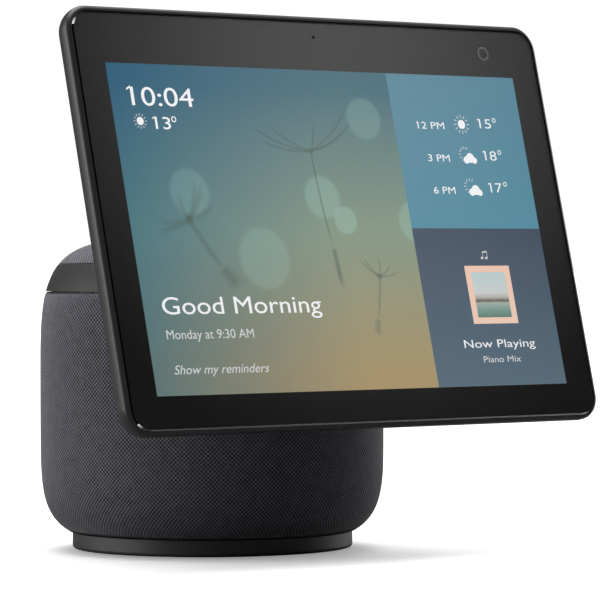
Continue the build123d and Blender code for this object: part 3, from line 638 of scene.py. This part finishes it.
def cloud_outline(scale):
    """Outline of a small cloud: the outermost of three circles over a flat base."""
    circles = [((-1.5, -0.3), 1.3), ((0.3, 0.45), 1.75), ((2.0, -0.45), 1.15)]
    points = []
    for i in range(60):
        a = 2 * math.pi * i / 60
        way = Vector((math.cos(a), math.sin(a)))
        best = 0.0
        for centre, radius in circles:
            c = Vector(centre)
            near = way.dot(c)
            square = radius**2 - (c.length_squared - near**2)
            if square > 0:
                best = max(best, near + math.sqrt(square))
        point = way * best
        points.append((point.x * scale, max(point.y, -1.6) * scale))
    return points


def lettering(into, text, left, baseline, cap_height, width, centre=None, weight=0.0, shear=0.0):
    """Add generic words or digits in the built-in font, fitted to a cap height and width in mm."""
    curve = bpy.data.curves.new("words", "FONT")
    curve.body = text
    curve.size = 1.0
    curve.offset = weight
    curve.shear = shear
    curve.resolution_u = 5
    holder = bpy.data.objects.new("words", curve)
    bpy.context.scene.collection.objects.link(holder)
    bpy.context.view_layer.update()
    flat = bpy.data.meshes.new_from_object(holder.evaluated_get(bpy.context.evaluated_depsgraph_get()))
    bpy.data.objects.remove(holder)
    xs = [v.co.x for v in flat.vertices]
    up = cap_height / FONT_CAP_HEIGHT
    wide = width / (max(xs) - min(xs))
    if centre is None:
        start = left - wide * min(xs)
    else:
        start = centre - wide * (max(xs) + min(xs)) / 2
    words = bmesh.new()
    words.from_mesh(flat)
    bmesh.ops.remove_doubles(words, verts=words.verts, dist=1e-5)
    grown = bmesh.ops.extrude_face_region(words, geom=words.faces[:])
    moved = [g for g in grown["geom"] if isinstance(g, bmesh.types.BMVert)]
    for v in words.verts:
        v.co = Vector(((start + v.co.x * wide) * MM, (baseline + v.co.y * up) * MM, MARK_BACK * MM))
    for v in moved:
        v.co.z = MARK_FRONT * MM
    bmesh.ops.recalc_face_normals(words, faces=words.faces)
    if text.startswith("1"):
        flag = [(x * cap_height, y * cap_height) for x, y in FLAG_OF_THE_ONE]
        corner = (start + wide * min(xs) + 0.03 * cap_height, baseline + cap_height)
        flat_shape(words, flag, MARK_BACK + 0.002, MARK_FRONT - 0.002, corner)
    done = bpy.data.meshes.new("words")
    words.to_mesh(done)
    words.free()
    into.from_mesh(done)
    bpy.data.meshes.remove(done)


def finish_marks(into, name, material):
    mesh = bpy.data.meshes.new(name)
    bmesh.ops.recalc_face_normals(into, faces=into.faces)
    into.to_mesh(mesh)
    into.free()
    return add_picture_piece(name, mesh, material)


def picture_tiles():
    width, height = PICTURE_WIDTH / MM / 2 - 0.05, PICTURE_HEIGHT / MM / 2 - 0.05
    wall = plate_mesh(-width, width, -height, height, WALL_BACK, WALL_FRONT)
    add_picture_piece("screen_wallpaper", wall, glowing("wallpaper", wallpaper_colour))
    for name, low, high, bottom, top in TILES:
        mesh = plate_mesh(TILE_LEFT, TILE_RIGHT, low, high, TILE_BACK, TILE_FRONT)
        run = upright_run(bottom, top, low * MM, high * MM)
        add_picture_piece(name, mesh, glowing(name, run))
    x0, x1, y0, y1 = CARD
    peach = upright_run(CARD_BOTTOM, CARD_TOP, y0 * MM, y1 * MM)
    card = plate_mesh(x0, x1, y0, y1, CARD_BACK, CARD_FRONT)
    add_picture_piece("screen_music_card", card, glowing("card", peach))
    view = plate_mesh(x0 + 3.1, x1 - 3.1, y0 + 2.7, y1 - 2.8, COVER_BACK, COVER_FRONT)
    add_picture_piece("screen_card_view", view, glowing("card_view", cover_picture_colour))


def camera_ring():
    """Satin ring on the front of the camera's barrel, behind the glass."""
    ring = bmesh.new()
    width = CAMERA_RING_OUTER - CAMERA_RING_INNER
    ring_shape(ring, CAMERA_RING_OUTER, width, *CAMERA_RING_DEPTH, CAMERA_SPOT, 64)
    mesh = bpy.data.meshes.new("camera_ring")
    bmesh.ops.recalc_face_normals(ring, faces=ring.faces)
    ring.to_mesh(mesh)
    ring.free()
    satin = brushed_metal("satin_ring", srgb(150, 150, 152), rough=0.4)
    return add_piece("camera_ring", mesh, satin, "screen", SCREEN)


def picture_marks():
    """Clock, forecast and words, in white and in a softer white."""
    bright, soft = bmesh.new(), bmesh.new()
    back, front = MARK_BACK, MARK_FRONT
    lettering(bright, "10:04", -98.7, 50.5, 8.2, width=31.0)
    flat_shape(bright, circle_outline(1.7), back, front, (-96.0, 44.0))
    sun_rays(soft, (-96.0, 44.0), 2.3, 3.2, 0.32, range(0, 360, 30), back, front)
    lettering(bright, "13", -88.7, 40.9, 5.3, width=7.6, weight=0.004)
    ring_shape(bright, 1.25, 0.45, back, front, (-79.2, 45.1))
    lettering(bright, "Good Morning", -99.6, -35.2, 7.4, width=80.5)
    lettering(soft, "Monday at 9:30 AM", -99.6, -45.2, 3.9, width=43.5)
    lettering(soft, "Show my reminders", -98.6, -59.4, 3.8, width=47.5, shear=0.3)
    for baseline, hour, left, degrees, sky in HOURS:
        lettering(bright, hour, left, baseline, 3.2, width=64.4 - left)
        if sky == "sun":
            flat_shape(bright, circle_outline(2.0), back, front, (74.4, baseline + 2.3))
            sun_rays(soft, (74.4, baseline + 2.3), 2.9, 4.2, 0.4, range(0, 360, 30), back, front)
        else:
            flat_shape(bright, cloud_outline(1.25), back, front, (75.7, baseline + 1.2))
            sun_rays(soft, (73.4, baseline + 3.4), 2.3, 3.5, 0.36, range(60, 241, 30), back, front)
        lettering(bright, degrees, 84.6, baseline + 0.8, 4.4, width=6.6, weight=-0.004)
        ring_shape(bright, 1.05, 0.38, back, front, (93.3, baseline + 4.5))
    lettering(bright, "Now Playing", 0, -51.5, 3.6, width=40.0, centre=74.5)
    lettering(soft, "Piano Mix", 0, -57.9, 2.8, width=21.0, centre=74.5)
    music_note(soft, 74.5, -11.4)
    finish_marks(bright, "screen_marks_bright", glowing("marks_bright", lambda t: mark_colour(t, 248)))
    finish_marks(soft, "screen_marks_soft", glowing("marks_soft", lambda t: mark_colour(t, 216)))


def mark_colour(t, level):
    """Near white, very slightly uneven, as lit pixels are."""
    return t.mix(t.noise(400.0, 1.0), srgb(level - 5, level - 3, level), srgb(level, level, level))


def music_note(into, x, y):
    """Two joined quavers, a plain sign for music."""
    for side in (-1.1, 1.3):
        head = circle_outline(0.75, 20, 0.72)
        flat_shape(into, head, MARK_BACK, MARK_FRONT, (x + side - 0.55, y - 1.2))
        stem = [(0.0, -1.2), (0.24, -1.2), (0.24, 1.5), (0.0, 1.5)]
        flat_shape(into, stem, MARK_BACK + 0.001, MARK_FRONT + 0.001, (x + side - 0.02, y))
    beam = [(0.0, 1.0), (2.64, 1.3), (2.64, 1.9), (0.0, 1.6)]
    flat_shape(into, beam, MARK_BACK + 0.002, MARK_FRONT + 0.002, (x - 1.12, y))


def seed_strokes():
    """Blurred seed heads drifting in the wallpaper: each is a stem, a seed and a fan of fine hairs."""
    strokes = []
    fans = [
        # hub, hair tips, joint of stem and seed, seed's end, blur width in mm, strength
        ((-11.0, 33.1),
         [(-40, 43), (-30.5, 43.5), (-38, 38), (-8, 45.5), (12.4, 53.5), (13, 46), (8, 42)],
         (-7.4, -8.8), (-6.0, -25.3), 0.75, 0.62),
        ((-79.3, 3.5), [(-97, -1), (-95, 3), (-74, 20), (-71, 18), (-83, 14), (-66, 10)],
         (-66.0, -16.8), (-59.5, -24.5), 1.9, 0.42),
        ((14.6, -20.3), [(4.8, -12), (7.5, -11.5), (15.3, -11.5), (26, -18), (22, -15)],
         (10.0, -38.6), (8.3, -45.2), 0.9, 0.42),
    ]
    for hub, tips, joint, end, width, strength in fans:
        for tip in tips:
            strokes.append((bent(hub, tip, 0.07), width, strength * 0.75))
        strokes.append((bent(hub, joint, 0.02), width, strength))
        strokes.append((bent(joint, end, 0.0), width * 2.4, strength))
        left, right = (hub[0] - 1.6, hub[1]), (hub[0] + 1.8, hub[1] + 0.2)
        strokes.append((bent(left, right, 0.0), width * 2.0, strength))
    return strokes


def bent(start, stop, sag):
    """Points from start to stop along a shallow curve; sag is its bow as a share of its length."""
    a, b = Vector(start), Vector(stop)
    side = Vector((-(b - a).y, (b - a).x)) * sag * (1 if b.x < a.x else -1)
    return [a.lerp(b, i / 10) + side * 4 * (i / 10) * (1 - i / 10) for i in range(11)]


def seed_ribbons():
    """The strokes as narrow ribbons, opaque along the middle and clear at the edges."""
    vertices, faces, fade = [], [], []
    for number, (points, width, strength) in enumerate(seed_strokes()):
        first = len(vertices)
        depth = (STROKE_DEPTH + 0.0004 * number) * MM
        for i, point in enumerate(points):
            ahead = points[min(i + 1, len(points) - 1)] - points[max(i - 1, 0)]
            side = Vector((-ahead.y, ahead.x)).normalized() * width
            taper = min(1.0, 3.0 * (len(points) - 1 - i) / (len(points) - 1) + 0.15)
            for shift, edge in ((-1, 0.0), (0, 1.0), (1, 0.0)):
                spot = (point + side * shift) * MM
                vertices.append((spot.x, spot.y, depth))
                fade.append(edge * strength * taper)
        for i in range(len(points) - 1):
            for k in range(2):
                a = first + 3 * i + k
                faces.append((a, a + 1, a + 4, a + 3))
    mesh = mesh_of(vertices, faces)
    layer = mesh.attributes.new("fade", "FLOAT", "POINT")
    layer.data.foreach_set("value", fade)
    t = Tree("seed_shadow")
    t.fixed(**UNLIT)
    t.join(t.mix(t.noise(60.0), srgb(60, 86, 82), srgb(74, 92, 80)), t.shader.inputs["Emission Color"])
    t.join(t.add("Attribute", attribute_name="fade").outputs["Fac"], t.shader.inputs["Alpha"])
    return add_picture_piece("screen_seed_shadows", mesh, t.material)


# ---------------------------------------------------------------- materials on the CAD nodes


def finish_nodes():
    """Give every CAD node that stays its material."""
    rim = moulded_plastic("satin_rim", srgb(50, 50, 51), rough=0.38, grain=0.35)
    band = moulded_plastic("satin_band", srgb(40, 40, 41), rough=0.55, grain=0.5)
    foot = moulded_plastic("satin_foot", srgb(62, 62, 63), rough=0.45, grain=0.5)
    cover = moulded_plastic("satin_cover", srgb(32, 32, 33), rough=0.5, grain=0.8)
    keys = moulded_plastic("satin_keys", srgb(30, 30, 31), rough=0.38, grain=0.35)
    inner = moulded_plastic("inner_plastic", srgb(24, 24, 26), rough=0.6, grain=1.0)
    gears = moulded_plastic("acetal", srgb(222, 220, 206), rough=0.35, grain=0.3, speckle=0.06)
    steel = brushed_metal("steel", srgb(190, 190, 194))
    ground = brushed_metal("ground_steel", srgb(210, 210, 214), rough=0.18)
    alloy = brushed_metal("sheet_alloy", srgb(205, 206, 210), rough=0.34, stretch=(40.0, 1.0, 1.0))
    casting = moulded_plastic("painted_casting", srgb(26, 26, 27), rough=0.5, grain=1.4)
    brass = brushed_metal("brass", srgb(202, 168, 96), rough=0.25)
    ferrite = moulded_plastic("ferrite", srgb(52, 52, 56), rough=0.55, grain=1.2)
    paper = moulded_plastic("cone_paper", srgb(44, 44, 46), rough=0.8, grain=1.6)
    parts = moulded_plastic("component_black", srgb(28, 28, 30), rough=0.5, grain=0.8)
    rubber = soft_rubber("rubber")
    board = circuit_board("circuit_board")
    ink = black_ink("black_ink")
    glass = clear_glass("cover_glass")
    lens = clear_glass("lens_glass", srgb(120, 130, 190))
    panel = moulded_plastic("panel_glass", srgb(20, 20, 24), rough=0.2, grain=0.1)
    guide = moulded_plastic("light_guide", srgb(236, 238, 240), rough=0.4, grain=0.2, speckle=0.04)
    looks = {
        rim: ["display_frame"],
        band: ["turret_band"],
        foot: ["base_foot"],
        cover: ["back_cover", "hinge_covers"],
        keys: ["mute_button", "volume_down_button", "volume_up_button", "shutter_slider"],
        inner: ["body_shell", "cap_shell", "speaker_enclosure", "top_deck", "dc_inlet"],
        gears: ["ring_gear", "idler_gear"],
        steel: ["ballast_plate", "woofer_frame", "swivel_motor", "base_screws", "turret_screws",
                "display_screws", "spindle_nut", "hinge_brackets", "torque_washers"],
        ground: ["bearing_outer_race", "bearing_inner_race", "bearing_balls", "idler_axle",
                 "hinge_pin"],
        alloy: ["panel_chassis", "board_shields", "swivel_spindle", "turret_plate"],
        casting: ["hinge_arm"],
        brass: ["dc_centre_pin", "motor_pinion"],
        ferrite: ["woofer_magnet", "tweeter_bodies"],
        paper: ["woofer_cone", "tweeter_domes"],
        parts: ["power_components", "camera_module", "button_switches", "shutter_blade"],
        rubber: ["foot_pad", "woofer_surround", "swivel_cable"],
        board: ["power_board", "main_board", "microphone_board", "button_board"],
        ink: ["bezel_mask"],
        glass: ["cover_glass"],
        lens: ["camera_lens"],
        panel: ["lcd_panel"],
        guide: ["backlight"],
    }
    for material, names in looks.items():
        for name in names:
            mesh = frame["nodes"][name].data
            mesh.materials.clear()
            mesh.materials.append(material)


# ---------------------------------------------------------------- stage, lights and camera


def stage_floor():
    """Pale floor, wide enough that its edge is out of sight. It lights the object less than it looks."""
    mesh = mesh_of([(-40, -40, 0), (40, -40, 0), (40, 40, 0), (-40, 40, 0)], [(0, 1, 2, 3)])
    floor = bpy.data.objects.new("floor", mesh)
    bpy.context.scene.collection.objects.link(floor)
    t = Tree("floor")
    pale = t.ramp(t.noise(3.0), [(0.3, (0.89, 0.89, 0.89, 1)), (0.7, (0.92, 0.92, 0.92, 1))])
    t.join(pale, t.shader.inputs["Base Color"])
    t.fixed(Roughness=0.9, Specular_IOR_Level=0.1)
    t.fixed(Emission_Color=(1.0, 1.0, 1.0, 1.0), Emission_Strength=FLOOR_GLOW)
    dim = t.add("BsdfDiffuse")
    dim.inputs["Color"].default_value = (FLOOR_BOUNCE, FLOOR_BOUNCE, FLOOR_BOUNCE, 1)
    choose = t.add("MixShader")
    t.join(t.add("LightPath").outputs["Is Camera Ray"], choose.inputs[0])
    t.join(dim.outputs[0], choose.inputs[1])
    t.join(t.shader.outputs[0], choose.inputs[2])
    t.join(choose.outputs[0], t.output.inputs["Surface"])
    mesh.materials.append(t.material)


def area_light(name, place, target, size, power):
    data = bpy.data.lights.new(name, "AREA")
    data.shape = "RECTANGLE"
    data.size, data.size_y = size
    data.energy = power
    light = bpy.data.objects.new(name, data)
    bpy.context.scene.collection.objects.link(light)
    light.location = place
    light.rotation_euler = (Vector(target) - Vector(place)).to_track_quat("-Z", "Y").to_euler()
    return light


def soft_box(name, place, target, size, radiance):
    """Rectangular light whose brightness falls off smoothly towards its edges."""
    light = area_light(name, place, target, size, 1.0)
    data = light.data
    data.use_nodes = True
    nodes, links = data.node_tree.nodes, data.node_tree.links
    emission = nodes["Emission"]
    parametric = nodes.new("ShaderNodeNewGeometry").outputs["Parametric"]
    distance = nodes.new("ShaderNodeVectorMath")
    distance.operation = "DISTANCE"
    links.new(parametric, distance.inputs[0])
    distance.inputs[1].default_value = (0.5, 0.5, 0.0)
    fall = nodes.new("ShaderNodeMapRange")
    fall.interpolation_type = "SMOOTHSTEP"
    fall.inputs["From Min"].default_value = 0.5
    fall.inputs["From Max"].default_value = 0.0
    links.new(distance.outputs["Value"], fall.inputs["Value"])
    # a light's watts are spread over its area: this makes the strength a radiance
    watts = math.pi * size[0] * size[1]
    scale = nodes.new("ShaderNodeMath")
    scale.operation = "MULTIPLY"
    links.new(fall.outputs[0], scale.inputs[0])
    scale.inputs[1].default_value = radiance * watts
    links.new(scale.outputs[0], emission.inputs["Strength"])
    light.visible_camera = False
    return light


def glow(nodes, links, direction, start, stop, radiance):
    """Part of the world's light: a soft round patch of sky about one direction."""
    way = nodes.new("ShaderNodeVectorMath")
    way.operation = "DOT_PRODUCT"
    links.new(nodes.new("ShaderNodeTexCoord").outputs["Generated"], way.inputs[0])
    way.inputs[1].default_value = Vector(direction).normalized()
    fall = nodes.new("ShaderNodeMapRange")
    fall.interpolation_type = "SMOOTHSTEP"
    fall.inputs["From Min"].default_value = math.cos(math.radians(start))
    fall.inputs["From Max"].default_value = math.cos(math.radians(stop))
    fall.inputs["To Max"].default_value = radiance
    links.new(way.outputs["Value"], fall.inputs["Value"])
    return fall.outputs[0]


def studio_light():
    world = bpy.data.worlds.new("studio")
    bpy.context.scene.world = world
    world.use_nodes = True
    nodes, links = world.node_tree.nodes, world.node_tree.links
    background = nodes["Background"]
    total = None
    for direction, start, stop, radiance in GLOWS:
        patch = glow(nodes, links, direction, start, stop, radiance)
        add = nodes.new("ShaderNodeMath")
        add.operation = "ADD"
        links.new(patch, add.inputs[0])
        add.inputs[1].default_value = WORLD_FLOOR_LIGHT
        if total is not None:
            links.new(total, add.inputs[1])
        total = add.outputs[0]
    links.new(total, background.inputs["Strength"])
    background.inputs["Color"].default_value = (1, 1, 1, 1)
    backdrop = nodes.new("ShaderNodeBackground")
    backdrop.inputs["Color"].default_value = (1, 1, 1, 1)
    backdrop.inputs["Strength"].default_value = 1.05
    path = nodes.new("ShaderNodeLightPath")
    choose = nodes.new("ShaderNodeMixShader")
    links.new(path.outputs["Is Camera Ray"], choose.inputs[0])
    links.new(background.outputs[0], choose.inputs[1])
    links.new(backdrop.outputs[0], choose.inputs[2])
    links.new(choose.outputs[0], nodes["World Output"].inputs[0])
    place, target = mirrored_place(*GLASS_BOX_SEEN_AT, GLASS_BOX_AWAY)
    soft_box("glass_box", place, target, GLASS_BOX_SIZE, GLASS_BOX_RADIANCE)


def mirrored_place(across, up, away):
    """Place that the glass mirrors to the camera at a point on the picture's plane, and the point."""
    point = SCREEN @ Vector((across, up, 0))
    way = (point - Vector(CAMERA_PLACE)).normalized()
    way -= 2 * way.dot(SCREEN_OUT) * SCREEN_OUT
    return point + way * away, point


def add_camera():
    back = Vector((
        math.sin(CAMERA_AZIMUTH) * math.cos(CAMERA_ELEVATION),
        -math.cos(CAMERA_AZIMUTH) * math.cos(CAMERA_ELEVATION),
        math.sin(CAMERA_ELEVATION),
    ))
    right = Vector((math.cos(CAMERA_AZIMUTH), math.sin(CAMERA_AZIMUTH), 0))
    up = back.cross(right)
    turn = Matrix((right, up, back)).transposed() @ Matrix.Rotation(CAMERA_ROLL, 3, "Z")
    data = bpy.data.cameras.new("camera")
    data.sensor_width = SENSOR_WIDTH
    data.lens = CAMERA_LENS
    data.clip_start, data.clip_end = 0.01, 50
    camera = bpy.data.objects.new("camera", data)
    bpy.context.scene.collection.objects.link(camera)
    camera.matrix_world = Matrix.Translation(CAMERA_PLACE) @ turn.to_4x4()
    bpy.context.scene.camera = camera


bpy.context.scene.view_settings.view_transform = "Standard"
add_camera()
studio_light()
stage_floor()
finish_nodes()
charcoal = woven_fabric("woven_sleeve", YARN_DARK, YARN_LIGHT, flat=False)
charcoal_top = woven_fabric("woven_top", YARN_DARK, YARN_LIGHT, flat=True)
fabric_sleeve(charcoal)
fabric_cap(charcoal_top)
picture_tiles()
seed_ribbons()
picture_marks()
camera_ring()
